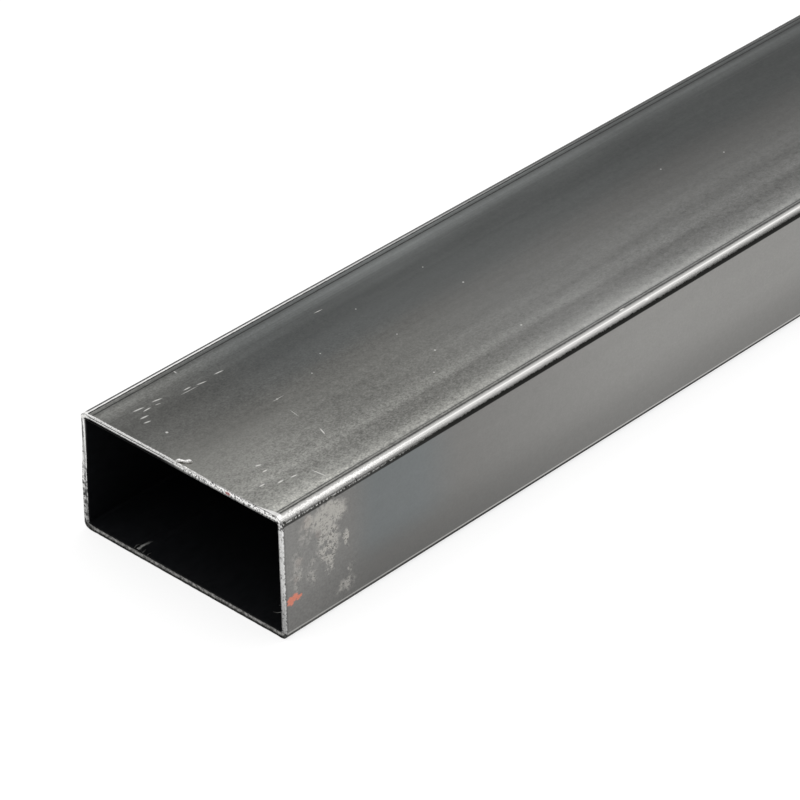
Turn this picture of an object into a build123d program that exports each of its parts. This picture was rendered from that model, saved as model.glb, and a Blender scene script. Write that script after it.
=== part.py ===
"""Rectangular steel tube, 60 x 30 x 1.5 mm, in a stock length of 1 m.

A welded hollow section, cold formed from strip: one wall thickness all round,
four bent corners, and one longitudinal weld seam. The seam is ground flush on
the outside. Inside, its flash is left standing as a low bead on the lower wall.
Both ends are sawn square, and the saw's sharp outer edge is broken by hand.

Frame, in millimetres: the tube lies on a wide side. X runs along it, Y across
it, and Z up. The origin is under its middle, on the face that it lies on.
"""
import os

from build123d import *

# Section
wide_side = 60.0
narrow_side = 30.0
wall = 1.5
inside_bend_radius = 0.6

# Weld bead, which stands on the inside of the lower wall
bead_offset = 14.0
bead_width = 3.0
bead_height = 0.5

# Cut length and the sawn ends
length = 1000.0
edge_break = 0.2

# The strip keeps its thickness round a bend
outside_bend_radius = inside_bend_radius + wall
bore_width = wide_side - 2 * wall
bore_height = narrow_side - 2 * wall
bore_floor = wall - narrow_side / 2

os.makedirs("parts", exist_ok=True)

# The section is drawn about its own centre, on the plane of one sawn end. That
# plane's X is the part's Y, and its Y is the part's Z.
sawn_end = Plane(
    origin=(-length / 2, 0, narrow_side / 2),
    x_dir=(0, 1, 0),
    z_dir=(1, 0, 0),
)

with BuildPart() as rectangular_tube:
    with BuildSketch(sawn_end) as section:
        RectangleRounded(wide_side, narrow_side, outside_bend_radius)
        RectangleRounded(bore_width, bore_height, inside_bend_radius, mode=Mode.SUBTRACT)

        # The bead: an arc over the seam, closed along the wall that it stands on
        with BuildLine():
            bead_left = (bead_offset - bead_width / 2, bore_floor)
            bead_top = (bead_offset, bore_floor + bead_height)
            bead_right = (bead_offset + bead_width / 2, bore_floor)
            ThreePointArc(bead_left, bead_top, bead_right)
            Line(bead_right, bead_left)
        make_face()
    extrude(amount=length)

    # The outer edge of each sawn end, all the way round
    for end_face in rectangular_tube.faces().filter_by(Axis.X):
        chamfer(end_face.outer_wire().edges(), edge_break)

rectangular_tube.part.label = "rectangular_tube"
export_step(rectangular_tube.part, "parts/rectangular_tube.step")
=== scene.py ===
"""A length of rectangular steel tube with its mill finish, lying on a pale floor.

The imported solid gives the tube's box. Its main visible piece is a closed skin over
that solid: flat walls that are very slightly out of true, rolled bends, a sawn rim
with its burr at each end, and the weld bead inside. A second piece holds the loose
slivers that the saw left. Lengths are in metres. Shader coordinates and the tables
of marks, tones and slivers are in millimetres.
"""
import math

import bpy
import numpy as np
from mathutils import Matrix, Vector, noise


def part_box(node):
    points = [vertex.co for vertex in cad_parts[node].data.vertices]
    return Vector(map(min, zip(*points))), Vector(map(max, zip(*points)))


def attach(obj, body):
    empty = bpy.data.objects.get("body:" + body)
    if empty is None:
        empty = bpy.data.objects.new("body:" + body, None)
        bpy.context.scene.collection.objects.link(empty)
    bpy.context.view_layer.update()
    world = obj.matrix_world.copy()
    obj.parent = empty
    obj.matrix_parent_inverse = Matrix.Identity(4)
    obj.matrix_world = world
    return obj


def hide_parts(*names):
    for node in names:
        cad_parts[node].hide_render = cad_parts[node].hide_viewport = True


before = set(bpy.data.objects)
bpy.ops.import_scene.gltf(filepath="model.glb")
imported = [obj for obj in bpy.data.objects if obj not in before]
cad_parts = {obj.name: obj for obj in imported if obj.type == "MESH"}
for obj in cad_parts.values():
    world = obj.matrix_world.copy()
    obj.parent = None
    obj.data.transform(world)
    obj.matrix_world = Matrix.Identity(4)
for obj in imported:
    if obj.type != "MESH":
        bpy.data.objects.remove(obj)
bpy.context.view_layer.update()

NODE = "rectangular_tube"
MM = 0.001

# The tube's section, as its solid has it
low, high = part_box(NODE)
LENGTH = high.x - low.x
WIDE = high.y - low.y
NARROW = high.z - low.z
WALL = 1.5 * MM
BEND = 2.1 * MM              # outside radius
BEAD_OFFSET = 14.0 * MM
BEAD_WIDTH = 3.0 * MM
BEAD_HEIGHT = 0.5 * MM

# The section is an offset all round from a core rectangle through the bends' centres
CORE_WIDE = WIDE / 2 - BEND
CORE_NARROW = NARROW / 2 - BEND
FLAT = 0.99                  # a normal that lies along an axis by more than this is a flat wall's

# The flat walls sink in and buckle a little, and round off before the bend, past a groove from the roll
HOLLOW = 0.04 * MM
BUCKLE = 0.03 * MM
BUCKLE_SIZE = 60 * MM
SHOULDER_REACH = 4.0 * MM
SHOULDER_DROP = 0.05 * MM
ROLL_LINE_INSETS = (0.8 * MM, 1.7 * MM)      # at the right and at the left
ROLL_LINE_WIDTH = 0.4 * MM
ROLL_LINE_DEPTH = 0.015 * MM

# The left wall is bent by the seen end. In millimetres: heights from the middle, and how far it stands out
LEFT_WALL = [
    (-15, 0.9), (-9, 0.76), (-3, 0.62), (0, 0.48), (2.7, 0.24), (5.7, -0.06), (8.6, -0.26), (10.8, -0.38),
    (12.3, -0.48), (13.8, -0.22), (15, -0.08),
]
BENT_REACH = 200 * MM

# How far the bends bulge out of a true quarter circle, by whether they are at the left and above the middle
BULGES = {(True, True): 0.12 * MM, (True, False): 0.14 * MM, (False, True): 0.0, (False, False): 0.25 * MM}
BULGE_KEPT = 0.5             # the share of it that is left beyond BENT_REACH

# The saw's burr is a fine ragged lip on both edges of the rim, which waves a little as a whole.
# The lower wall's outer edge is sharper than the others
LIP = 0.07 * MM
LIP_GRAIN = 0.9 * MM
RIM_WAVE = 0.03 * MM
RIM_WAVE_SIZE = 4 * MM
SHARPER_BY = 0.13 * MM
SHARPER_DEPTH = 0.25 * MM


# Shape of the skin: its places round the section and along the tube

BY_THE_BEND = [d * MM for d in (0, 0.25, 0.5, 0.8, 1.1, 1.4, 1.8, 2.4, 3.1, 4.0)]
BEND_STEPS = 12
FLAT_STEP = 0.8 * MM
BEAD_CUTS = 19
CLEAR_OF_BEAD = 0.3 * MM

BY_THE_END = [d * MM for d in (0.45, 0.75, 1.1, 1.6, 2.3, 3.2, 4.5, 6, 8, 10.5, 13.5, 17, 21, 26)]
MIDDLE_START = 32 * MM
MIDDLE_CUTS = 79

# Across a rim, from the broken outer edge to the inner one, in millimetres: inset from the end, and depth
RIM = [
    (0.17, 0.0), (0.08, 0.05), (0.02, 0.13), (0.0, 0.25), (0.05, 0.45),
    (0.06, 0.75), (0.05, 1.1), (-0.02, 1.3), (-0.05, 1.42), (0.03, 1.5),
]

OUTSIDE, SAWN, INSIDE = range(3)       # the skin's materials, in their order


def flat_cuts(half):
    """Places along a flat wall, from -half to half: close together by the bends, and then evenly spaced."""
    inner = half - BY_THE_BEND[-1]
    count = round(2 * inner / FLAT_STEP)
    middle = np.linspace(-inner, inner, count + 1)
    edge = np.array([half - d for d in BY_THE_BEND[:-1]])
    return np.concatenate([-edge, middle, edge[::-1]])


def section():
    """Each place round the section: its core point and its outward normal."""
    wide = flat_cuts(CORE_WIDE)
    narrow = flat_cuts(CORE_NARROW)
    bead_reach = 0.9 * BEAD_WIDTH
    bead = BEAD_OFFSET + np.linspace(-bead_reach, bead_reach, BEAD_CUTS)
    floor = [y for y in wide if abs(y - BEAD_OFFSET) > bead_reach + CLEAR_OF_BEAD]
    floor = np.sort(np.concatenate([floor, bead]))
    walls = [
        (floor, (1, 0), (0, -1), CORE_NARROW),
        (narrow, (0, 1), (1, 0), CORE_WIDE),
        (wide, (-1, 0), (0, 1), CORE_NARROW),
        (narrow, (0, -1), (-1, 0), CORE_WIDE),
    ]
    places = []
    for cuts, along, out, away in walls:
        along, out = np.array(along, float), np.array(out, float)
        for u in cuts:
            places.append((along * u + out * away, out))
        corner = along * cuts[-1] + out * away
        for k in range(1, BEND_STEPS):
            turn = k / BEND_STEPS * math.pi / 2
            places.append((corner, out * math.cos(turn) + along * math.sin(turn)))
    return places


def wave(x, u, v, size, seed):
    """Smooth noise from -1 to 1 with features of about that size, in metres."""
    return noise.noise(Vector((x / size + seed, u / size, v / size + 2.7 * seed)))


def bulge(x, core, out):
    """How far a bend bulges there: most at the seen end, and nothing on the flat walls."""
    eased = 1 - (1 - BULGE_KEPT) * min(1.0, x / BENT_REACH)
    return eased * BULGES[bool(core[0] > 0), bool(core[1] > 0)] * (2 * out[0] * out[1]) ** 2


def outer_relief(x, core, out):
    """How far the outside stands proud of the true section there."""
    across = core[0] if abs(out[1]) > FLAT else core[1] if abs(out[0]) > FLAT else None
    if across is None:
        return -SHOULDER_DROP
    half = CORE_WIDE if abs(out[1]) > FLAT else CORE_NARROW
    share = across / half
    inset = half - abs(across)
    hollow = -HOLLOW * (1 - share * share)
    shoulder = -SHOULDER_DROP * max(0.0, 1 - inset / SHOULDER_REACH) ** 2
    line_inset = ROLL_LINE_INSETS[1 if across > 0 else 0]
    roll_line = -ROLL_LINE_DEPTH * math.exp(-(((inset - line_inset) / ROLL_LINE_WIDTH) ** 2))
    buckle = BUCKLE * wave(x, across, 5 * out[0] + 9 * out[1], BUCKLE_SIZE, 3.1) * (1 - share**4)
    return hollow + shoulder + roll_line + buckle


def bead_relief(x, core, out):
    """How far the weld bead stands off the inside of the lower wall."""
    if out[1] > -FLAT:
        return 0.0
    ragged = 1 + 0.25 * wave(x, 0, 0, 2.5 * MM, 7.7)
    wander = 0.25 * MM * wave(x, 0, 0, 9 * MM, 1.9)
    share = (core[0] - BEAD_OFFSET - wander) / (BEAD_WIDTH / 2 * ragged)
    crest = max(0.0, 1 - share * share)
    ripple = 0.06 * MM * wave(x, core[0], 0, 0.9 * MM, 4.4)
    return BEAD_HEIGHT * crest * ragged + ripple * crest


def bent(x, y, z):
    """y with the left wall's bend. z is from the section's middle."""
    heights, reaches = zip(*LEFT_WALL)
    stands_out = np.interp(z / MM, heights, reaches) * MM
    return y + stands_out * max(0.0, 1 - x / BENT_REACH) * max(0.0, y / (WIDE / 2)) ** 3


def rim_relief(near, y, z, out, depth):
    """How far a rim's place lies inward of the cut. near is 1 at the near end, and -1 at the far one."""
    edge = max(0.0, abs(depth / WALL - 0.5) * 2 - 0.5) * 2
    shift = -LIP * edge * (0.6 + wave(near * 3.0, y, z, LIP_GRAIN, 6.2))
    shift += RIM_WAVE * wave(near * 5.0, y, z, RIM_WAVE_SIZE, 8.8)
    shift -= SHARPER_BY * max(0.0, -out[1]) * max(0.0, 1 - depth / SHARPER_DEPTH)
    return shift


def rows():
    """The mesh's rows: along the outside to the far end, over its rim, and back through the bore."""
    middle = np.linspace(MIDDLE_START, LENGTH - MIDDLE_START, MIDDLE_CUTS)
    along = BY_THE_END + list(middle) + [LENGTH - d for d in reversed(BY_THE_END)]
    rim = [(inset * MM, depth * MM) for inset, depth in RIM]
    out = [(x, 0.0, "outer") for x in along]
    out += [(LENGTH - inset, depth, "rim") for inset, depth in rim]
    out += [(x, WALL, "bore") for x in reversed(along)]
    out += [(inset, depth, "rim") for inset, depth in reversed(rim)]
    return out


def skin_row(places, x, depth, kind):
    """The vertices of one row round the section."""
    near = 1 if x < LENGTH / 2 else -1
    verts = []
    for core, out in places:
        reach = BEND - depth + bulge(x, core, out) * (1 - depth / WALL)
        if depth == 0:
            reach += outer_relief(x, core, out)
        elif depth == WALL:
            reach -= bead_relief(x, core, out)
        y, z = core[0] + out[0] * reach, core[1] + out[1] * reach
        shift = rim_relief(near, y, z, out, depth) if kind == "rim" else 0.0
        verts.append((low.x + x + near * shift, bent(x, y, z), low.z + NARROW / 2 + z))
    return verts


def skin_mesh():
    """The whole tube as one closed mesh, with a material for the outside, the rims and the bore."""
    places, lines = section(), rows()
    across, along = len(places), len(lines)
    verts = []
    for x, depth, kind in lines:
        verts += skin_row(places, x, depth, kind)
    faces, marks = [], []
    for j in range(along):
        k = (j + 1) % along
        both = {lines[j][2], lines[k][2]}
        mark = SAWN if both == {"rim"} else INSIDE if "bore" in both else OUTSIDE
        for i in range(across):
            n = (i + 1) % across
            faces.append((j * across + i, k * across + i, k * across + n, j * across + n))
            marks.append(mark)
    mesh = bpy.data.meshes.new("tube_skin")
    mesh.from_pydata(verts, [], faces)
    mesh.polygons.foreach_set("material_index", marks)
    mesh.polygons.foreach_set("use_smooth", [True] * len(faces))
    mesh.validate()
    return mesh


# Shader writing

class Shader:
    """Writes one material's nodes. Lengths in it are in millimetres."""

    def __init__(self, name):
        self.material = bpy.data.materials.new(name)
        self.material.use_nodes = True
        self.tree = self.material.node_tree
        self.tree.nodes.clear()
        self.surface = self.add("ShaderNodeBsdfPrincipled")
        output = self.add("ShaderNodeOutputMaterial")
        self.tree.links.new(self.surface.outputs[0], output.inputs["Surface"])

    def locate(self):
        """Makes the coordinates: along from the seen end, across, and up."""
        place = self.add("ShaderNodeTexCoord").outputs["Object"]
        place = self.vector("SCALE", place, scale=1 / MM)
        self.place = self.vector("SUBTRACT", place, (low.x / MM, 0, 0))
        split = self.add("ShaderNodeSeparateXYZ", {0: self.place})
        self.x, self.y, self.z = split.outputs
        return self

    def past_core(self):
        """How far a place is past the core rectangle, across and up. It is negative inside."""
        y = self.math("SUBTRACT", self.math("ABSOLUTE", self.y), CORE_WIDE / MM)
        z = self.math("ABSOLUTE", self.math("SUBTRACT", self.z, NARROW / 2 / MM))
        return y, self.math("SUBTRACT", z, CORE_NARROW / MM)

    def bend_turn(self):
        """How far round a bend a place is, in degrees, from 0 on a wide wall to 90 on a narrow one."""
        y, z = (self.math("MAXIMUM", past, 0.0) for past in self.past_core())
        return self.math("DEGREES", self.math("ARCTAN2", y, z))

    def wall_depth(self):
        """How deep in the wall a place is, from its outside."""
        y, z = self.past_core()
        corner = {0: self.math("MAXIMUM", y, 0.0), 1: self.math("MAXIMUM", z, 0.0)}
        reach = self.vector("LENGTH", self.add("ShaderNodeCombineXYZ", corner).outputs[0])
        inward = self.math("MINIMUM", self.math("MAXIMUM", y, z), 0.0)
        return self.math("SUBTRACT", BEND / MM, self.math("ADD", reach, inward))

    def feed(self, socket, value):
        """Links another node's output to the socket, or sets the socket's own value."""
        if isinstance(value, bpy.types.NodeSocket):
            self.tree.links.new(value, socket)
        else:
            socket.default_value = value

    def add(self, kind, inputs=None, **settings):
        """A new node. An input that is None stays as it is."""
        node = self.tree.nodes.new(kind)
        for name, value in settings.items():
            setattr(node, name, value)
        for socket, value in (inputs or {}).items():
            if value is not None:
                self.feed(node.inputs[socket], value)
        return node

    def math(self, operation, a, b=None, c=None, clamp=False):
        node = self.add("ShaderNodeMath", {0: a, 1: b, 2: c}, operation=operation, use_clamp=clamp)
        return node.outputs[0]

    def vector(self, operation, a, b=None, c=None, scale=None):
        inputs = {0: a, 1: b, 2: c, "Scale": scale}
        node = self.add("ShaderNodeVectorMath", inputs, operation=operation)
        return node.outputs["Value" if operation == "LENGTH" else "Vector"]

    def times_plus(self, a, b, c):
        """a times b, plus c."""
        return self.math("MULTIPLY_ADD", a, b, c)

    def product(self, *values):
        result = values[0]
        for value in values[1:]:
            result = self.math("MULTIPLY", result, value)
        return result

    def total(self, start, *parts):
        """start, plus the value of each part times its weight."""
        result = start
        for value, weight in parts:
            result = self.times_plus(value, weight, result)
        return result

    def most(self, *values):
        result = values[0]
        for value in values[1:]:
            result = self.math("MAXIMUM", result, value)
        return result

    def opposite(self, value):
        """1 where value is 0, and 0 where it is 1."""
        return self.math("SUBTRACT", 1.0, value)

    def dimmed(self, value, share):
        """A factor that is 1 where value is 0, and lower by that share where it is 1."""
        return self.times_plus(value, -share, 1.0)

    def noise(self, sizes, detail=2.0, roughness=0.5, seed=0.0):
        """Noise from 0 to 1 whose features have these sizes along X, Y and Z."""
        shrunk = [1 / size for size in sizes]
        place = self.vector("MULTIPLY_ADD", self.place, shrunk, (seed, 2.3 * seed, -1.7 * seed))
        inputs = {"Vector": place, "Scale": 1.0, "Detail": detail, "Roughness": roughness}
        return self.add("ShaderNodeTexNoise", inputs).outputs[0]

    def centred(self, value):
        """Noise moved down to swing round 0."""
        return self.math("SUBTRACT", value, 0.5)

    def swing(self, value, amount):
        """A factor round 1, which noise moves up and down by that amount."""
        return self.times_plus(self.centred(value), amount, 1.0)

    def ramp(self, value, start, end, to_start=0.0, to_end=1.0):
        """value taken smoothly from start..end to to_start..to_end, held at both."""
        inputs = {"Value": value, "From Min": start, "From Max": end, "To Min": to_start, "To Max": to_end}
        return self.add("ShaderNodeMapRange", inputs, interpolation_type="SMOOTHSTEP").outputs[0]

    def either(self, share, at_none, at_all):
        """From at_none where the share is 0 to at_all where it is 1."""
        return self.ramp(share, 0, 1, at_none, at_all)

    def band(self, value, start, end, soft):
        """1 from start to end, falling off over soft at both sides."""
        rise = self.ramp(value, start - soft, start)
        return self.math("MULTIPLY", rise, self.ramp(value, end, end + soft, 1.0, 0.0))

    def tones(self, value, stops):
        """A grey that runs through the stops, each of them a place and its tone."""
        first, last = stops[0][0], stops[-1][0]
        span = self.add("ShaderNodeMapRange", {"Value": value, "From Min": first, "From Max": last})
        node = self.add("ShaderNodeValToRGB", {0: span.outputs[0]})
        elements = node.color_ramp.elements
        while len(elements) < len(stops):
            elements.new(1.0)
        for element, (place, tone) in zip(elements, stops):
            element.position = (place - first) / (last - first)
            element.color = (tone, tone, tone, 1.0)
        return node.outputs[0]

    def mix(self, factor, a, b):
        """Colour a where the factor is 0 or less, and b where it is 1 or more."""
        a, b = ((*colour, 1.0) if isinstance(colour, tuple) else colour for colour in (a, b))
        return self.add("ShaderNodeMix", {0: factor, 6: a, 7: b}, data_type="RGBA").outputs[2]

    def shade(self, colour, *factors):
        """The colour times each of the factors."""
        return self.vector("MULTIPLY", colour, self.product(*factors))

    def marks(self, shapes, start, end, place=None):
        """1 inside the ellipsoids, each a centre, half sizes and a turn, and 0 beyond their soft edges."""
        nearest = None
        for centre, half, turn in shapes:
            inputs = {"Vector": place or self.place, "Location": centre, "Rotation": turn, "Scale": half}
            placed = self.add("ShaderNodeMapping", inputs, vector_type="TEXTURE").outputs[0]
            reach = self.vector("LENGTH", placed)
            nearest = reach if nearest is None else self.math("MINIMUM", nearest, reach)
        return self.ramp(nearest, start, end)

    def push(self, size, seed):
        """Three noises round 0 at once, to move coordinates about with."""
        place = self.vector("MULTIPLY_ADD", self.place, [1 / size] * 3, (seed, seed, seed))
        moved = self.add("ShaderNodeTexNoise", {"Vector": place, "Scale": 1.0, "Detail": 2.0})
        return self.vector("SUBTRACT", moved.outputs["Color"], (0.5, 0.5, 0.5))

    def pushed(self, push, amount):
        """The place, moved by that much of the push."""
        return self.vector("ADD", self.place, self.vector("SCALE", push, scale=amount))

    def bump(self, height, depth, strength):
        """A normal for relief of that height, from 0 to 1 over that depth."""
        inputs = {"Height": height, "Distance": depth * MM, "Strength": strength}
        return self.add("ShaderNodeBump", inputs).outputs[0]

    def set(self, **sockets):
        """Sets the surface's sockets. An underscore stands for a space in a socket's name."""
        for name, value in sockets.items():
            self.feed(self.surface.inputs[name.replace("_", " ")], value)


# Marks on the outside: places along from the seen end, then across the top or up the side

TOP = NARROW / MM
SIDE = -WIDE / 2 / MM

STROKES = [                   # on top, from (along, across) to (along, across), and how wide
    (7.0, 21.1, 9.9, 20.7, 0.46), (8.6, 19.6, 10.7, 19.6, 0.40), (6.2, 18.0, 8.4, 17.8, 0.50),
    (5.6, 16.3, 7.3, 15.9, 0.44), (12.3, 20.9, 14.8, 20.4, 0.42), (12.0, 19.6, 13.3, 19.2, 0.24),
    (19.8, 19.2, 21.9, 19.1, 0.38), (23.0, 18.7, 25.7, 18.2, 0.34), (18.3, 18.4, 23.0, 18.2, 0.18),
    (28.5, 18.9, 31.0, 18.6, 0.36), (23.7, 26.2, 23.5, 25.1, 0.34), (29.3, 2.3, 32.7, 2.3, 0.13),
    (28.8, -12.1, 27.9, -14.5, 0.34), (16.7, -21.7, 17.1, -25.4, 0.28), (29.5, -2.7, 29.1, -5.7, 0.13),
    (9.9, -12.1, 11.2, -12.6, 0.55), (9.4, -14.8, 10.8, -14.8, 0.45), (5.2, -18.0, 6.9, -18.1, 0.45),
    (8.6, -19.9, 10.3, -19.9, 0.50), (11.8, -20.4, 13.6, -20.6, 0.45), (60.0, 20.3, 62.4, 20.1, 0.24),
]
SPECKS = [                    # on top: along, across, width
    (6.5, 10.3, 0.70), (30.7, 2.3, 0.45), (42.7, 3.9, 0.36), (49.4, 8.0, 0.36), (66.7, -9.2, 0.5),
    (60.2, -15.0, 0.44), (65.9, 1.2, 0.36), (67.3, 14.8, 0.34), (91.0, 5.1, 0.48), (89.7, 16.0, 0.34),
    (86.4, -16.1, 0.5), (157.3, 5.1, 0.4), (172.9, -0.6, 0.4),
]
NICKS = [(112.8, -28.9, 29.4), (105.5, -28.0, 29.9)]     # on the near bend: along, across, up
SCUFFS = [                    # on the side, as the next three too: along, up, half length, half height
    (12.8, 24.6, 6.3, 4.0), (12.6, 18.6, 3.9, 6.0), (12.9, 12.9, 1.5, 3.0), (17.9, 16.8, 1.0, 2.8),
    (7.2, 26.0, 1.5, 1.8),
]
FAINT_SCUFFS = [
    (3.4, 15.5, 2.3, 5.5), (17.2, 5.2, 3.0, 2.4), (18.6, 8.8, 1.1, 1.5), (7.6, 13.2, 2.0, 3.8),
    (6.5, 23.5, 3.0, 4.0),
]
PAINT = [(1.4, 9.2, 1.1, 1.2), (2.6, 9.7, 1.05, 0.95), (3.8, 9.2, 0.75, 0.6)]
PAINT_TRACES = [(6.7, 26.0, 1.5, 2.6), (4.2, 17.6, 1.3, 1.5), (3.0, 13.9, 0.8, 1.2), (9.6, 21.5, 0.7, 1.6)]

UNTURNED = (0, 0, 0)
MARK_DEPTH = 1.0
PATCH_DEPTH = 2.0
NICK_SIZE = (0.9, 0.2, 0.4)
RED_SPECK = ((0, -14.2, TOP - 0.8), (2, 0.95, 0.5), UNTURNED)      # on the upper rim


def stroke(x0, y0, x1, y1, wide):
    """A thin ellipsoid along a scratch on top."""
    middle = ((x0 + x1) / 2, (y0 + y1) / 2, TOP)
    half = (math.hypot(x1 - x0, y1 - y0) / 2, wide / 2, MARK_DEPTH)
    return middle, half, (0, 0, math.atan2(y1 - y0, x1 - x0))


def speck(x, y, wide):
    """A round dent on top."""
    return (x, y, TOP), (wide / 2, wide / 2, MARK_DEPTH), UNTURNED


def patches(areas):
    """The patches on the near narrow wall."""
    return [((x, SIDE, z), (long, PATCH_DEPTH, tall), UNTURNED) for x, z, long, tall in areas]


TOP_MARKS = [stroke(*line) for line in STROKES]
TOP_MARKS += [speck(*place) for place in SPECKS]
TOP_MARKS += [(place, NICK_SIZE, UNTURNED) for place in NICKS]

# Tones across a wide wall, from its right edge to its left one. A pale strip runs beside each roll line.
# They are partly the steel's own tone and partly painted light: the fall to dark on the left and the pale
# strips stand for how the light falls across the wall
WIDE_TONES = [
    (-27.5, 0.32), (-26.8, 0.43), (-26.3, 0.52), (-25.5, 0.455), (-24.6, 0.40), (-23.5, 0.355),
    (-22.0, 0.315), (-20.0, 0.262), (-18.0, 0.305), (-16.0, 0.335), (-14.5, 0.32), (-12.0, 0.272),
    (-10.0, 0.283), (-7.0, 0.28), (-4.0, 0.262), (0.0, 0.237), (8.0, 0.18), (15.0, 0.150),
    (19.0, 0.157), (21.5, 0.18), (24.0, 0.262), (24.7, 0.30), (26.2, 0.20), (26.6, 0.20), (27.5, 0.31),
]

# Tones round an upper bend's burnishing and its painted highlight, from the wide wall on
BURNISH_AND_HIGHLIGHT_TONES = [
    (6, 0.37), (12, 0.36), (19, 0.38), (26, 0.70), (33, 0.46), (38, 0.51), (44, 0.71), (52, 0.67),
    (70, 0.52),
]

# Tones across a rim, from its outer edge inward
TOP_LEFT_RIM = [
    (0.0, 1.0), (0.2, 1.0), (0.27, 0.06), (0.54, 0.05), (0.62, 0.74), (0.76, 0.7), (0.92, 0.3),
    (1.04, 0.01), (1.2, 0.0),
]
TOP_RIGHT_RIM = [
    (0.0, 0.5), (0.12, 0.66), (0.25, 0.97), (0.65, 0.97), (0.9, 0.84), (1.1, 0.7), (1.28, 0.4), (1.42, 0.1),
]
RIGHT_RIM = [
    (0.0, 0.3), (0.1, 0.5), (0.2, 0.72), (0.32, 0.78), (0.5, 0.66), (0.7, 0.6), (1.15, 0.6), (1.3, 0.4),
    (1.42, 0.1),
]
LEFT_RIM = [
    (0.0, 0.85), (0.28, 0.72), (0.45, 0.42), (0.6, 0.33), (0.78, 0.42), (0.95, 0.6), (1.15, 0.82),
    (1.32, 0.75), (1.42, 0.25), (1.5, 0.05),
]

# Tints, which a grey tone is multiplied by
WARM = (1.0, 1.0, 0.968)
WARM_BY_THE_END = (1.005, 1.0, 0.94)
COOL = (0.957, 1.0, 0.985)
NARROW_WARM = (1.005, 0.992, 0.955)
NARROW_BLUE = (0.935, 1.0, 1.01)
BURNISH_TINT = (1.0, 0.99, 0.965)
RIM_TINT = (1.0, 0.995, 0.98)

# Colours of the outside
GREASE_AND_SHADE = (0.02, 0.02, 0.018)
DULL_SHADED_STRIP = (0.075, 0.075, 0.074)
FAR_EDGE_HIGHLIGHT = (0.34, 0.34, 0.335)
EDGE_HIGHLIGHT_AND_RUB = (0.92, 0.915, 0.90)
LOW_HIGHLIGHT = (0.47, 0.465, 0.45)
RIGHT_ROLL_LINE = (0.105, 0.105, 0.103)
LEFT_ROLL_LINE = (0.07, 0.07, 0.069)
WORN_EDGE_AND_GLINT = (0.97, 0.965, 0.95)
SCRATCH = (0.93, 0.92, 0.89)
SCUFF = (0.48, 0.465, 0.435)
RED_PAINT = (0.80, 0.29, 0.20)
PAINT_TRACE = (0.33, 0.275, 0.25)

# Colours of the rims, the bore and the slivers
RIM_CORNER = (0.82, 0.82, 0.81)
LOW_RIM_GRIME_AND_SHADE = (0.035, 0.035, 0.033)
LOW_RIM_STEEL = (0.23, 0.226, 0.218)
RIM_RED = (0.30, 0.07, 0.07)
SCALE_AND_SHADE_DARK = (0.002, 0.0024, 0.003)
SCALE_AND_SHADE_LIGHT = (0.007, 0.0075, 0.009)
BEAD_CREST = (0.33, 0.33, 0.32)
SHADED_SLIVER = (0.10, 0.10, 0.097)
LIT_SLIVER = (0.92, 0.91, 0.89)
SLIVER_DIRT = (0.12, 0.12, 0.115)


# The finish of the outside

ONTO_NARROW = (60, 84)       # the turn over which a bend's finish passes into the narrow wall's
HALFWAY_UP = (13, 17)        # the heights between which the lower half's passes into the upper half's


def by_half(s, lower, upper):
    """From the one value on the tube's lower half to the other on its upper half."""
    return s.ramp(s.z, *HALFWAY_UP, lower, upper)


def locate_finish(s):
    """Sets what the outside's finish goes by, and the noises that several of its parts share."""
    s.turn = s.bend_turn()
    s.from_end = s.math("MINIMUM", s.x, s.math("SUBTRACT", LENGTH / MM, s.x))
    s.aside = s.math("ABSOLUTE", s.y)
    s.inset = s.math("SUBTRACT", CORE_WIDE / MM, s.aside)
    # Each of these is a share from 0 to 1
    s.narrow_wall = s.ramp(s.turn, *ONTO_NARROW)
    s.wide_wall = s.opposite(s.narrow_wall)
    s.upper = by_half(s, 0.0, 1.0)
    s.lower = s.opposite(s.upper)
    s.left = s.opposite(s.ramp(s.y, 1, -1))
    s.grain = s.noise((0.5, 0.42, 0.42), detail=2, roughness=0.65)
    s.clouds = s.noise((45, 8, 8), detail=2, seed=5)
    s.streaks = s.noise((260, 1.9, 1.9), detail=1, seed=7)
    s.chatter = s.noise((1.0, 0.29, 0.29), detail=2, roughness=0.7, seed=13)


def wide_walls(s):
    """Dark and cool on the left, paler and warmer on the right, and lightest by the ends. This is partly the
    steel's tone and partly painted light: a pool of light painted by each end, a fade painted further along,
    and a patch of painted shadow.
    """
    wander = s.product(s.centred(s.clouds), s.ramp(s.aside, 17, 22.5, 11, 0))
    across = s.math("ADD", s.y, wander)
    cool = s.product(s.ramp(across, 0, 13), s.ramp(s.from_end, 12, 48, 0.2, 1.0))
    warm = s.mix(s.ramp(s.from_end, 50, 100), WARM_BY_THE_END, WARM)
    colour = s.vector("MULTIPLY", s.tones(across, WIDE_TONES), s.mix(cool, warm, COOL))
    shadow = s.product(s.band(s.from_end, 11, 26, 8), s.band(s.y, 2, 15, 5), -0.075)
    # Painted light: lighter within 45 mm of each end, darker from 95 mm on, and the patch of painted shadow
    return s.shade(
        colour, s.ramp(s.from_end, 0, 45, 1.27, 1.0), s.ramp(s.from_end, 95, 210, 1.0, 0.76),
        s.math("ADD", shadow, 1.0),
    )


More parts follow.
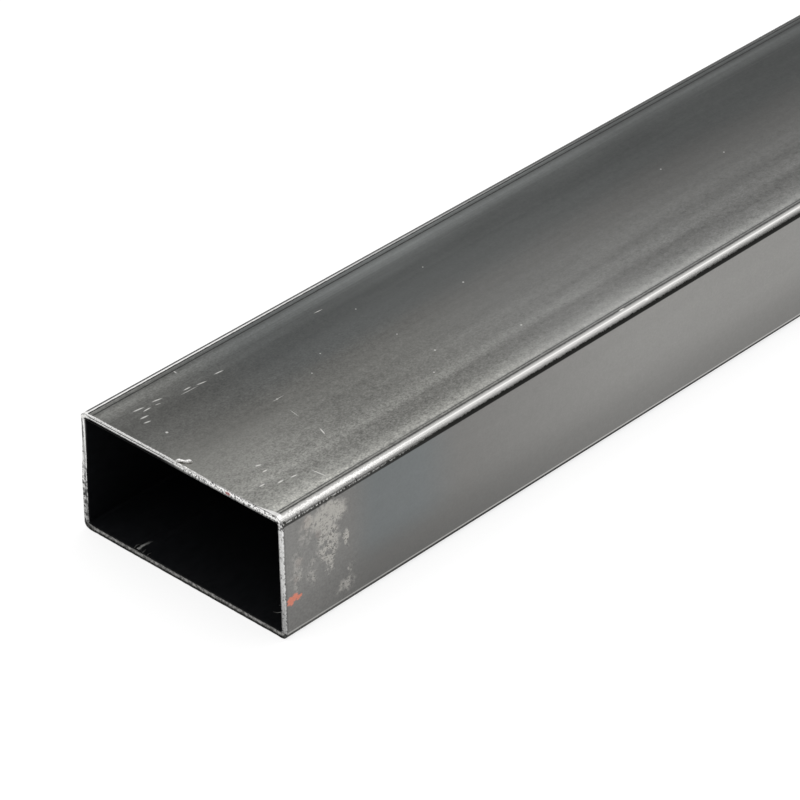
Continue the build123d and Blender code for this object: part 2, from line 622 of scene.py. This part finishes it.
def narrow_walls(s):
    """Smooth, darkest a little in from each end, where they are bluish too, and darker along the bottom,
    which is painted shade from the floor's shadow that they reflect.
    """
    tone = s.product(
        s.ramp(s.from_end, 4, 28, 0.222, 0.177), s.ramp(s.from_end, 22, 120, 1.0, 1.57),
        # Painted shade: darker towards the bottom
        s.ramp(s.z, 2, 17, 0.76, 1.0),
    )
    blue = s.product(s.ramp(s.from_end, 18, 27), s.ramp(s.from_end, 54, 38), s.ramp(s.z, 5, 14))
    tint = s.mix(blue, NARROW_WARM, NARROW_BLUE)
    return s.shade(tint, tone, s.ramp(s.from_end, 0.0, 0.7, 0.62, 1.0))


def eased(s, least, last):
    """A strength that falls from 1 to its least at 100 mm off the end, and rises to its last by 150 mm."""
    falling = s.ramp(s.from_end, 60, 100, 1.0, least)
    return s.math("ADD", falling, s.ramp(s.from_end, 115, 150, 0.0, last - least))


def mottled(s, colour):
    """Grain, pits, clouds and streaks, all stronger on the rubbed right half and near the ends."""
    pits = s.noise((2.0, 1.7, 1.7), detail=3, roughness=0.95, seed=11)
    scores = s.noise((60, 0.5, 0.5), detail=2, seed=23)
    rubbed = s.product(s.ramp(s.y, 0, -20), s.wide_wall)
    near = s.ramp(s.from_end, s.either(s.narrow_wall, 75, 26), s.either(s.narrow_wall, 45, 15))
    near_left = s.product(s.ramp(s.from_end, 45, 22), s.ramp(s.y, 0, 10), s.wide_wall)
    near_middle = s.product(
        s.ramp(s.from_end, 90, 60), s.ramp(s.from_end, 15, 35), s.band(s.y, -6, 6, 8), s.wide_wall,
    )
    grain_swing = s.total(
        0.2, (s.product(rubbed, eased(s, 0.2, 0.5)), 1.0), (near_left, 0.4), (near, 0.4), (near_middle, 0.3),
    )
    pits_swing = s.total(
        s.either(s.narrow_wall, s.ramp(s.from_end, 70, 130, 0.4, 0.7), 0.22),
        (s.product(rubbed, eased(s, 0.5, 0.9)), 1.1), (near_left, 0.7), (near, 0.25), (near_middle, 0.5),
    )
    return s.shade(
        colour,
        s.swing(s.grain, grain_swing),
        s.swing(pits, s.product(pits_swing, 0.62)),
        s.swing(s.clouds, s.either(s.narrow_wall, 0.40, 0.16)),
        s.swing(s.streaks, s.either(s.narrow_wall, 0.2, 0.05)),
        s.swing(scores, s.ramp(s.y, 18, 23, s.either(s.narrow_wall, 0.08, 0.02), 0.4)),
        s.times_plus(s.ramp(pits, 0.38, 0.30), s.product(rubbed, -0.12), 1.0),
    )


def burnishing_with_highlight(s, fray):
    """The burnishing's colour with the bend's highlight painted in, brighter in a stretch by the end. fray
    shifts its lines, in degrees.
    """
    tone = s.tones(s.times_plus(fray, s.ramp(s.from_end, 20, 60, 0.45, 0.15), s.turn), BURNISH_AND_HIGHLIGHT_TONES)
    # Painted highlight: the crest brighter by each end
    crest = s.product(
        s.ramp(s.from_end, 50, 20), s.ramp(s.from_end, 5, 20, 0.6, 1.0), s.ramp(s.turn, 22, 32),
        s.ramp(s.turn, 40, 50, 1.0, 0.2),
    )
    by_the_end = s.most(crest, s.product(s.ramp(s.from_end, 26, 14), s.ramp(s.turn, 36, 42)))
    return s.shade(
        s.vector("MULTIPLY", tone, BURNISH_TINT), s.times_plus(by_the_end, 0.4, 1.0),
        s.ramp(s.from_end, 90, 165, 1.0, s.ramp(s.turn, 28, 42, 1.0, 0.72)),
    )


def upper_left_bend(s):
    """Where that bend has its pale line, a painted highlight which the saw cut's rubbing adds to, and the
    dull strip of painted shade after the line.
    """
    here = s.product(s.upper, s.left)
    dull = s.product(
        here, s.ramp(s.turn, 11, 16), s.ramp(s.turn, 44, 48, 1.0, 0.0), s.ramp(s.from_end, 0.2, 1.4),
    )
    line = s.product(s.ramp(s.inset, 0.2, 0.08), s.ramp(s.turn, 12, 8))
    sawn = s.times_plus(s.centred(s.chatter), 1.6, s.from_end)
    sawn = s.product(s.ramp(sawn, 1.3, 0.5), s.ramp(s.turn, 3, 8), s.ramp(s.z, 14, 24, 0.2, 1.0))
    return s.product(here, s.most(line, sawn)), dull


def bends(s, colour):
    """Burnishing with a painted highlight, and a greasy dark line by the narrow wall that is partly painted
    shade. Returns the colour, where the burnishing and highlight lie, where it is oily and where shade is
    painted, and the pale line, a painted highlight.
    """
    hatch = s.noise((0.5, 0.9, 0.9), detail=2, seed=31)
    fray = s.product(s.centred(s.chatter), s.ramp(s.from_end, 15, 60, 34, 15))
    fray = s.times_plus(s.centred(hatch), s.ramp(s.from_end, 14, 45, 95, 15), fray)
    # The burnishing and its painted highlight pass into the greasy band of painted shade at the crest: at 30
    # degrees on a lower bend, and 57 to 68 on an upper
    crest = by_half(s, 30, s.ramp(s.from_end, 22, 50, 68, 57))
    past_crest = s.math("SUBTRACT", s.math("ADD", s.turn, fray), crest)
    past_crest = s.math("DIVIDE", past_crest, s.ramp(s.from_end, 14, 50, 8, 4))
    burnish_and_highlight = s.product(
        s.ramp(s.turn, 3.5, 8), s.ramp(past_crest, -1, 1, 1.0, 0.0), s.ramp(s.turn, 78, 70),
    )
    slightly_frayed = s.times_plus(fray, 0.1, s.turn)
    # Partly greasy and partly painted shade: the dark band by the narrow wall, which on the lower bends
    # stands for the floor's shadow that they reflect
    grease_and_shade = s.product(
        s.most(s.ramp(past_crest, -0.2, 1.2), s.ramp(s.turn, 69, 75)),
        s.ramp(slightly_frayed, by_half(s, 69, 85), by_half(s, 75, 91), 1.0, 0.0),
        s.ramp(s.turn, 89.8, 87), s.ramp(s.from_end, 3, 60, 0.85, 1.0),
    )
    line, dull = upper_left_bend(s)
    # Painted highlight: the upper left bend's pale line, with the saw's rubbing by the end, bright near the
    # end and greyer further on. The dull strip after it is painted shade
    edge_highlight_and_rub = s.product(line, s.ramp(s.from_end, 20, 175, 1.0, 0.0))
    shiny = s.mix(s.product(dull, 0.9), burnishing_with_highlight(s, fray), DULL_SHADED_STRIP)
    shiny = s.mix(s.product(line, s.ramp(s.from_end, 60, 170)), shiny, FAR_EDGE_HIGHLIGHT)
    colour = s.mix(burnish_and_highlight, colour, shiny)
    colour = s.mix(edge_highlight_and_rub, colour, EDGE_HIGHLIGHT_AND_RUB)
    colour = s.mix(grease_and_shade, colour, GREASE_AND_SHADE)
    # Painted highlight: on the lower ones a light line follows the greasy band
    low_highlight = s.band(s.turn, 74.5, 82.5, 2.0)
    low_highlight = s.product(low_highlight, s.ramp(s.from_end, 5, 95, 0.55, 1.05), s.lower, 0.95)
    colour = s.mix(low_highlight, colour, LOW_HIGHLIGHT)
    oil_by_the_end = s.ramp(s.from_end, 12, 38, 0.2, 0.9)
    # Matte on the greasy band and its painted shade, and on the dull strip of painted shade
    oil_and_shade = s.most(s.product(grease_and_shade, s.lower), s.product(grease_and_shade, oil_by_the_end), dull)
    return colour, burnish_and_highlight, oil_and_shade, edge_highlight_and_rub


def roll_lines(s, colour):
    """Two dark lines from the edges of the rolls, which run along each wide wall beside the bend. They are
    partly the rolls' marks and partly a painted dark reflection of the grooves there.
    """
    inset = s.times_plus(s.centred(s.chatter), 0.3, s.inset)
    starts = s.times_plus(s.left, 0.17, -0.12)
    ends = s.ramp(inset, s.either(s.left, 0.28, 0.42), s.either(s.left, 0.40, 0.58), 1.0, 0.0)
    outer = s.product(s.ramp(s.math("SUBTRACT", inset, starts), 0.0, 0.1), ends)
    inner = s.band(s.times_plus(s.left, -0.7, inset), 0.78, 0.98, 0.15)
    inner = s.product(inner, s.ramp(s.clouds, 0.35, 0.6, s.either(s.left, 0.5, 1.0), 1.1))
    lines = s.math("MULTIPLY_ADD", inner, s.either(s.left, 0.8, 1.0), outer, clamp=True)
    lines = s.product(
        lines, s.swing(s.chatter, 1.0), s.swing(s.streaks, 0.8), s.ramp(s.turn, 4, 8, 0.95, 0.0),
    )
    # Dark lines, partly the rolls' marks and partly painted dark reflection
    return s.mix(lines, colour, s.mix(s.left, RIGHT_ROLL_LINE, LEFT_ROLL_LINE))


def worn_edge_and_glint(s):
    """Where the upper wall is rubbed bright by the saw cut, with a painted glint along that edge that is
    widest round its right corner.
    """
    # Painted glint: the bright edge reaches further in round the right corner
    corner = s.product(s.upper, s.ramp(s.y, -22, -28), s.ramp(s.turn, 40, 5))
    worn_to = s.times_plus(s.chatter, 0.5, s.ramp(s.y, -6, 4, -0.12, 0.12))
    worn_to = s.times_plus(corner, 1.1, worn_to)
    return s.product(s.ramp(s.math("SUBTRACT", s.from_end, worn_to), 0.14, -0.14), s.upper, s.wide_wall)


def scuffed(s, colour, push):
    """Flaking scuffs on the side by the end, with dark pores in them. Also returns where they are."""
    flaking = s.noise((1.3, 1.3, 1.5), detail=4, roughness=0.78, seed=21)
    scuff = s.marks(patches(SCUFFS), 1.0, 0.6, s.pushed(push, 3.0))
    scuff = s.product(scuff, s.ramp(s.math("ADD", flaking, s.ramp(s.z, 18, 25, 0, 0.06)), 0.40, 0.53))
    faint = s.marks(patches(FAINT_SCUFFS), 1.1, 0.4, s.pushed(push, 4.0))
    faint = s.product(faint, s.ramp(flaking, 0.40, 0.62, 0.0, 0.65))
    worn = s.product(s.most(scuff, faint), s.narrow_wall)
    pores = s.product(s.ramp(s.grain, 0.46, 0.36), s.ramp(s.z, 25, 20, 0.45, 1.0))
    colour = s.shade(colour, s.dimmed(s.product(worn, pores), 0.65))
    return s.mix(s.product(worn, s.dimmed(pores, 0.8)), colour, SCUFF), worn


def painted(s, colour, push):
    """A torn smear of red paint, and traces of it rubbed thin. Also returns where the smear is."""
    torn = s.pushed(s.push(0.7, 5.0), 1.3)
    paint = s.product(s.marks(patches(PAINT), 1.05, 0.7, torn), s.narrow_wall)
    colour = s.mix(paint, colour, RED_PAINT)
    traces = s.product(s.marks(patches(PAINT_TRACES), 1.2, 0.2, s.pushed(push, 3.0)), s.narrow_wall, 0.26)
    return s.mix(traces, colour, PAINT_TRACE), paint


def mill_steel():
    """The outside: oily grey mill finish with a mottled grain, scuffs, roll lines and burnishing on the
    bends, with highlights, glints and shade painted into its colour.
    """
    s = Shader("mill_steel").locate()
    locate_finish(s)
    colour = mottled(s, s.mix(s.narrow_wall, wide_walls(s), narrow_walls(s)))
    colour, burnish_and_highlight, oil_and_shade, edge_highlight_and_rub = bends(s, colour)
    colour = roll_lines(s, colour)
    wear_and_glint = worn_edge_and_glint(s)
    colour = s.mix(wear_and_glint, colour, WORN_EDGE_AND_GLINT)
    colour = s.mix(s.product(s.marks(TOP_MARKS, 1.25, 0.5), 0.9), colour, SCRATCH)
    push = s.push(1.5, 3.0)
    colour, worn = scuffed(s, colour, push)
    colour, paint = painted(s, colour, push)
    roughness = s.total(0.36, (s.clouds, 0.10), (burnish_and_highlight, -0.14), (s.most(worn, paint), 0.15))
    relief = s.times_plus(s.product(s.chatter, burnish_and_highlight), 2.0, s.grain)
    # Matte on the painted highlights and glints, on the greasy band and painted shade, and partly on the red
    # paint
    matte = s.most(edge_highlight_and_rub, s.product(wear_and_glint, s.ramp(s.y, -4, 4, 0.0, 0.6)), oil_and_shade, s.product(paint, 0.4))
    s.set(
        Base_Color=colour, Metallic=s.opposite(matte), Roughness=roughness,
        Specular_IOR_Level=s.either(oil_and_shade, 0.5, 0.05), Normal=s.bump(relief, 0.012, strength=0.5),
    )
    return s.material


# The finish of the rims, the bore and the slivers

def upper_rim(s, ragged):
    """It shows the cut best: a bright edge, a groove, a second line, and a dark strip along the inner edge
    by the bore.
    """
    colour = s.mix(s.ramp(s.y, -8, 6), s.tones(ragged, TOP_RIGHT_RIM), s.tones(ragged, TOP_LEFT_RIM))
    return s.mix(s.product(s.ramp(s.y, 26.8, 28.2), s.ramp(s.depth, 1.2, 0.9)), colour, RIM_CORNER)


def left_rim(s, ragged):
    """Grimier from the middle down, and with a dark groove by the top."""
    tone = s.tones(s.math("ADD", ragged, s.ramp(s.z, 18, 12, 0.0, 0.16)), LEFT_RIM)
    grimy = s.product(s.ramp(s.grime, 0.54, 0.45), s.ramp(s.z, 19, 13))
    groove = s.product(s.band(ragged, 0.5, 0.72, 0.15), s.band(s.z, 24, 27.3, 1.0))
    return s.shade(tone, s.dimmed(grimy, 0.8), s.ramp(s.z, 10, 17, 0.8, 1.0), s.dimmed(groove, 0.65))


def lower_rim(s):
    """Grimy at both edges, with a grey line between, and all of it painted darker than the other rims as the
    floor's shadow that it reflects.
    """
    colour = s.mix(s.band(s.depth, 0.75, 1.2, 0.35), LOW_RIM_GRIME_AND_SHADE, LOW_RIM_STEEL)
    return s.shade(colour, s.ramp(s.grime, 0.4, 0.6, 0.45, 1.3), s.ramp(s.holes, 0.36, 0.44, 0.45, 1.0))


def sawn_steel():
    """The rims: bright where the saw left an edge, greyer between, and grimy and painted darker as shade
    along the bottom.
    """
    s = Shader("sawn_steel").locate()
    s.depth = s.wall_depth()
    s.grime = s.noise((1.5, 1.0, 1.0), detail=3, roughness=0.65, seed=9)
    s.holes = s.noise((0.6, 0.5, 0.5), detail=1, seed=17)
    saw_lines = s.noise((1, 0.15, 5), detail=1, roughness=0.6, seed=5)
    level = s.times_plus(s.centred(s.grime), 12, s.z)
    ragged = s.total(s.depth, (s.centred(s.grime), 0.3), (s.centred(s.holes), 0.2))
    walls = s.mix(s.ramp(s.y, -3, 3), s.tones(ragged, RIGHT_RIM), left_rim(s, ragged))
    # Painted shade: the side rims darker towards the bottom and lighter towards the top
    walls = s.shade(walls, s.ramp(level, 3, 17, 0.58, 1.0), s.ramp(s.z, 21, 27, 1.0, 1.12))
    # Dark pits, more of them on the upper wall's right part, and hatching round the upper right corner
    top_wall = s.ramp(s.z, 28.2, 28.5)
    pitted = s.product(top_wall, s.ramp(s.y, 8, -4))
    pits = s.ramp(s.times_plus(pitted, -0.085, s.holes), 0.39, 0.33)
    pits = s.product(pits, s.most(s.ramp(level, 8, 28, 0.85, 0.5), s.product(pitted, 0.8)))
    hatching = s.product(
        s.band(s.z, 27.0, 28.6, 0.4), s.ramp(s.y, -27, -28), s.ramp(s.holes, 0.56, 0.44), 0.8,
    )
    colour = s.mix(top_wall, walls, upper_rim(s, ragged))
    colour = s.shade(colour, s.ramp(s.grime, 0.32, 0.5, 0.7, 1.0), s.opposite(pits), s.opposite(hatching))
    colour = s.vector("MULTIPLY", colour, RIM_TINT)
    # Painted shade: the lower rim, much darker than the others
    colour = s.mix(s.ramp(s.z, 1.75, 1.4), colour, lower_rim(s))
    colour = s.mix(s.product(s.marks([RED_SPECK], 1.0, 0.4), 0.85), colour, RIM_RED)
    # The upper left corner's outer edge is rubbed dull and pale
    dull_corner = s.product(s.ramp(s.depth, 0.4, 0.2), s.ramp(s.z, 24, 26.5), s.ramp(s.y, 24, 27))
    s.set(
        Base_Color=colour, Metallic=s.opposite(dull_corner), Roughness=s.ramp(s.grime, 0.3, 0.7, 0.45, 0.3),
        Normal=s.bump(saw_lines, 0.02, strength=0.6),
    )
    return s.material


def bore_steel():
    """The inside: dark oily scale, painted near black as the bore's shade, with the weld bead's torn crest
    painted lighter near the mouth as a highlight.
    """
    s = Shader("bore_steel").locate()
    grain = s.noise((2.5, 0.9, 0.9), detail=3, roughness=0.6, seed=2)
    torn = s.noise((2.2, 0.5, 0.5), detail=3, roughness=0.7, seed=4)
    across = s.math("SUBTRACT", s.y, s.times_plus(torn, 2.0, BEAD_OFFSET / MM - 0.6))
    # Painted highlight: the crest is lighter only in the first few millimetres from the mouth
    lit_by_the_mouth = s.ramp(s.times_plus(torn, 5.0, s.x), 6.6, 3.8)
    crest = s.product(
        s.band(across, -0.15, 0.15, 0.38), s.ramp(s.z, 1.6, 1.85), lit_by_the_mouth,
        s.ramp(grain, 0.38, 0.5, 0.4, 1.0),
    )
    s.set(
        # Painted shade: the bore near black
        Base_Color=s.mix(crest, s.mix(grain, SCALE_AND_SHADE_DARK, SCALE_AND_SHADE_LIGHT), BEAD_CREST), Metallic=0.0,
        Roughness=s.ramp(grain, 0.3, 0.7, 0.55, 0.7), Specular_IOR_Level=0.15,
        Normal=s.bump(grain, 0.03, strength=0.5),
    )
    return s.material


def sliver_steel():
    """Thin torn metal, in lit and shaded copies: painted bright on the upper rim, and painted dark as shade
    down in the mouth.
    """
    s = Shader("sliver_steel").locate()
    grain = s.noise((0.4, 0.4, 0.4), detail=3, seed=6)
    # Painted light and shade: the same metal, light up high and dark low
    colour = s.mix(s.ramp(s.z, 10, 25), SHADED_SLIVER, LIT_SLIVER)
    colour = s.mix(s.ramp(grain, 0.45, 0.6, 0, 0.4), colour, SLIVER_DIRT)
    s.set(
        Base_Color=colour, Metallic=s.ramp(s.z, 10, 25, 1.0, 0.6),
        Roughness=s.ramp(grain, 0.3, 0.7, 0.3, 0.5), Normal=s.bump(grain, 0.02, strength=0.5),
    )
    return s.material


# Slivers that the saw left, each a tapering strand: along from the seen end, across, up, and radius
SLIVERS = [
    # The curl on the top rim, and its root along the edge
    [
        (0.1, 1.1, 29.5, 0.2), (0.0, 0.9, 30.0, 0.34), (0.45, 0.75, 30.45, 0.36),
        (0.9, 0.1, 30.35, 0.30), (1.3, -0.5, 30.1, 0.34), (1.7, -0.9, 30.2, 0.5),
        (2.1, -1.3, 30.2, 0.44), (2.35, -1.55, 30.05, 0.15),
    ],
    [
        (-0.02, 1.2, 29.9, 0.10), (-0.08, 0.2, 30.05, 0.28), (-0.02, -0.9, 29.95, 0.20),
        (-0.06, -1.9, 30.02, 0.30), (0.0, -3.2, 29.9, 0.20), (-0.04, -4.4, 29.98, 0.28),
        (0.0, -5.6, 29.9, 0.18), (-0.04, -7.0, 29.95, 0.24), (0.02, -8.5, 29.85, 0.08),
    ],
    # Whiskers from the right wall's inner edge
    [(0.2, -28.6, 6.6, 0.09), (0.35, -27.6, 5.9, 0.08), (0.5, -26.5, 5.2, 0.06), (0.7, -25.4, 4.8, 0.03)],
    [(0.2, -28.6, 8.3, 0.07), (0.45, -27.8, 7.7, 0.05), (0.8, -27.0, 7.2, 0.03)],
    # Torn ends of the weld bead
    [(0.1, 15.5, 1.5, 0.12), (0.4, 15.3, 2.1, 0.14), (1.0, 15.1, 2.3, 0.10), (1.7, 14.8, 2.2, 0.05)],
    [(0.1, 13.0, 1.6, 0.12), (0.3, 12.7, 2.1, 0.13), (0.6, 12.4, 2.4, 0.05)],
    [(0.1, 11.7, 1.4, 0.10), (0.5, 11.6, 1.8, 0.10), (1.2, 11.4, 1.8, 0.04)],
]


def sliver_mesh():
    """The slivers as one mesh of round strands with closed ends."""
    curve = bpy.data.curves.new("slivers", "CURVE")
    curve.dimensions = "3D"
    curve.bevel_depth = MM
    curve.bevel_resolution = 2
    curve.use_fill_caps = True
    for strand in SLIVERS:
        spline = curve.splines.new("NURBS")
        spline.points.add(len(strand) - 1)
        for point, (x, y, z, radius) in zip(spline.points, strand):
            point.co = (low.x + x * MM, y * MM, low.z + z * MM, 1)
            point.radius = radius
        spline.order_u = 3
        spline.use_endpoint_u = True
        spline.resolution_u = 4
    drawn = bpy.data.objects.new("slivers", curve)
    bpy.context.scene.collection.objects.link(drawn)
    mesh = bpy.data.meshes.new_from_object(drawn.evaluated_get(bpy.context.evaluated_depsgraph_get()))
    bpy.data.objects.remove(drawn)
    mesh.polygons.foreach_set("use_smooth", [True] * len(mesh.polygons))
    mesh.materials.clear()
    return mesh


skin = bpy.data.objects.new("tube_skin", skin_mesh())
for material in (mill_steel(), sawn_steel(), bore_steel()):
    skin.data.materials.append(material)
burrs = bpy.data.objects.new("saw_burrs", sliver_mesh())
burrs.data.materials.append(sliver_steel())
for piece in (skin, burrs):
    bpy.context.scene.collection.objects.link(piece)
    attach(piece, "root")
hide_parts(NODE)


# Studio: a pale floor, one long softbox overhead, and a plain surround

FLOOR_REACH = 30.0
FLOOR_GREY = 0.35
FLOOR_GLOW = 0.75
SURROUND_LEVEL = 0.45
SOFTBOX_LEVEL = 1.05
SOFTBOX_SIZE = (2.6, 0.85)
SOFTBOX_PLACE = (0.0, -0.05, 0.66)
FLAG_REACH = 2.2
FLAG_HEIGHT = 0.75
FLAG_GREY = 0.02
FLAG_TURNS = 64


def make_floor():
    """A wide floor, which glows for the camera and in reflections and takes the tube's shadow."""
    mesh = bpy.data.meshes.new("floor")
    corners = [(-1, -1, 0), (1, -1, 0), (1, 1, 0), (-1, 1, 0)]
    mesh.from_pydata([(x * FLOOR_REACH, y * FLOOR_REACH, z) for x, y, z in corners], [], [(0, 1, 2, 3)])
    s = Shader("floor_white")
    path = s.add("ShaderNodeLightPath")
    seen = s.most(*[path.outputs[k] for k in ("Is Camera Ray", "Is Glossy Ray", "Is Transmission Ray")])
    s.set(
        Base_Color=(FLOOR_GREY, FLOOR_GREY, FLOOR_GREY, 1), Roughness=0.8,
        Emission_Color=(1, 1, 1, 1), Emission_Strength=s.product(seen, FLOOR_GLOW),
    )
    mesh.materials.append(s.material)
    return bpy.data.objects.new("floor", mesh)


def make_flag():
    """A dark band round the set, which only reflections see. It gives the metal its dark lines."""
    verts = []
    for level in (0.0, FLAG_HEIGHT):
        for k in range(FLAG_TURNS):
            angle = 2 * math.pi * k / FLAG_TURNS
            verts.append((FLAG_REACH * math.cos(angle), FLAG_REACH * math.sin(angle), level))
    faces = []
    for k in range(FLAG_TURNS):
        after = (k + 1) % FLAG_TURNS
        faces.append((k, after, FLAG_TURNS + after, FLAG_TURNS + k))
    mesh = bpy.data.meshes.new("flag")
    mesh.from_pydata(verts, [], faces)
    s = Shader("flag_black")
    s.set(Base_Color=(FLAG_GREY, FLAG_GREY, FLAG_GREY, 1), Roughness=1.0)
    mesh.materials.append(s.material)
    flag = bpy.data.objects.new("flag", mesh)
    flag.visible_camera = False
    flag.visible_diffuse = False
    flag.visible_shadow = False
    flag.visible_transmission = False
    return flag


for staged in (make_floor(), make_flag()):
    bpy.context.scene.collection.objects.link(staged)

softbox = bpy.data.lights.new("softbox", "AREA")
softbox.shape = "RECTANGLE"
softbox.size, softbox.size_y = SOFTBOX_SIZE
softbox.energy = SOFTBOX_LEVEL * math.pi * SOFTBOX_SIZE[0] * SOFTBOX_SIZE[1]
softbox_object = bpy.data.objects.new("softbox", softbox)
softbox_object.location = SOFTBOX_PLACE
softbox_object.visible_camera = False
bpy.context.scene.collection.objects.link(softbox_object)

world = bpy.data.worlds.new("surround")
world.use_nodes = True
surround = world.node_tree.nodes["Background"]
surround.inputs["Color"].default_value = (1, 1, 1, 1)
surround.inputs["Strength"].default_value = SURROUND_LEVEL
bpy.context.scene.world = world


# Camera: its place is given about the middle of the near end's lower edge

AZIMUTH = math.radians(44.149)       # from the tube's axis, towards its right-hand side
ELEVATION = math.radians(33.126)
ROLL = math.radians(-1.15)
DISTANCE = 850.43 * MM
AIM = (-44.655 * MM, -38.185 * MM)   # where the near end's middle stands from the view's centre
FRAME_PIXELS = 800
FOCAL_PIXELS = 4086.2
SENSOR = 36.0


def make_camera():
    """The camera at its distance, aimed beside the near end's middle and rolled a little."""
    back = Vector((
        -math.cos(AZIMUTH) * math.cos(ELEVATION),
        -math.sin(AZIMUTH) * math.cos(ELEVATION),
        math.sin(ELEVATION),
    ))
    level = Vector((0, 0, 1)).cross(back).normalized()
    upright = back.cross(level)
    right = level * math.cos(ROLL) + upright * math.sin(ROLL)
    up = upright * math.cos(ROLL) - level * math.sin(ROLL)
    data = bpy.data.cameras.new("camera")
    data.sensor_width = SENSOR
    data.lens = FOCAL_PIXELS / FRAME_PIXELS * SENSOR
    data.clip_start, data.clip_end = 0.01, 100.0
    camera = bpy.data.objects.new("camera", data)
    place = Vector((low.x, 0, low.z)) + back * DISTANCE - right * AIM[0] - up * AIM[1]
    turn = Matrix((right, up, back)).transposed().to_4x4()
    camera.matrix_world = Matrix.Translation(place) @ turn
    return camera


camera = make_camera()
bpy.context.scene.collection.objects.link(camera)
bpy.context.scene.camera = camera
bpy.context.scene.view_settings.view_transform = "Standard"
